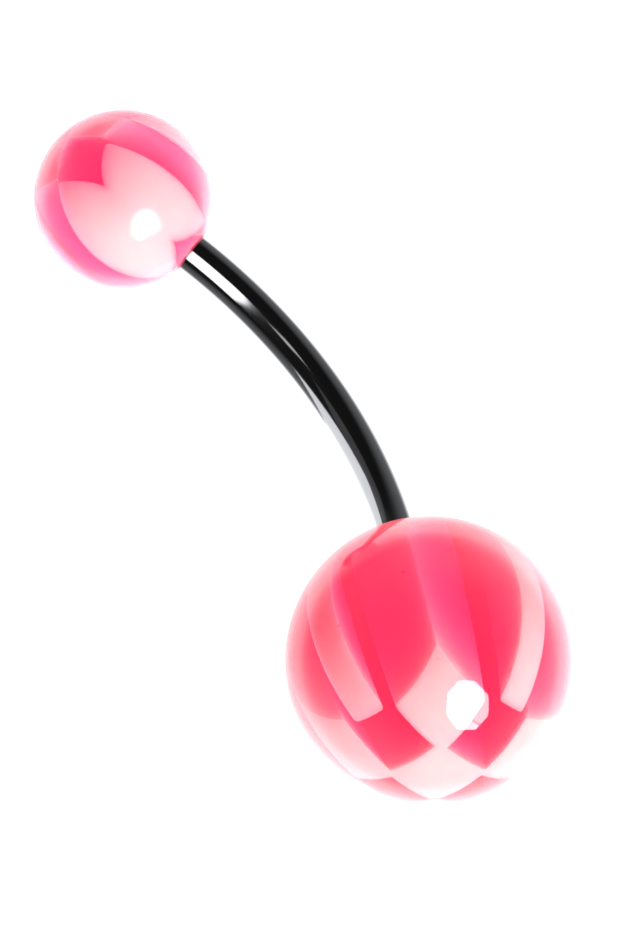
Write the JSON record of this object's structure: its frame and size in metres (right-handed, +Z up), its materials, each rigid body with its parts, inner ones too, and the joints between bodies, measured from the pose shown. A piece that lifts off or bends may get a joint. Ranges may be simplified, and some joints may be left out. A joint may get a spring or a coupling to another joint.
{
  "type": "navel ring",
  "caption": "Bent steel bar with a large checkered acrylic ball at one end and a small one at the other, worn through a navel piercing.",
  "frame": {"origin": "on the floor below the middle of the object's box, with both balls resting on the floor and the bend hanging between them", "axes": "+X runs from the large ball to the small ball, the bar bends in the XZ plane, +Z is up"},
  "size_m": [0.0232, 0.008, 0.008],
  "materials": {
    "polished_steel": "surgical steel polished to a mirror",
    "clear_pink_acrylic": "clear tinted acrylic, turned and polished",
    "milky_white_acrylic": "milky acrylic, turned and polished"
  },
  "bodies": {
    "root": {"curved_bar": "polished_steel", "large_ball": "clear_pink_acrylic", "large_ball_rods": "milky_white_acrylic", "small_ball": "clear_pink_acrylic", "small_ball_rods": "milky_white_acrylic"}
  },
  "joints": []
}
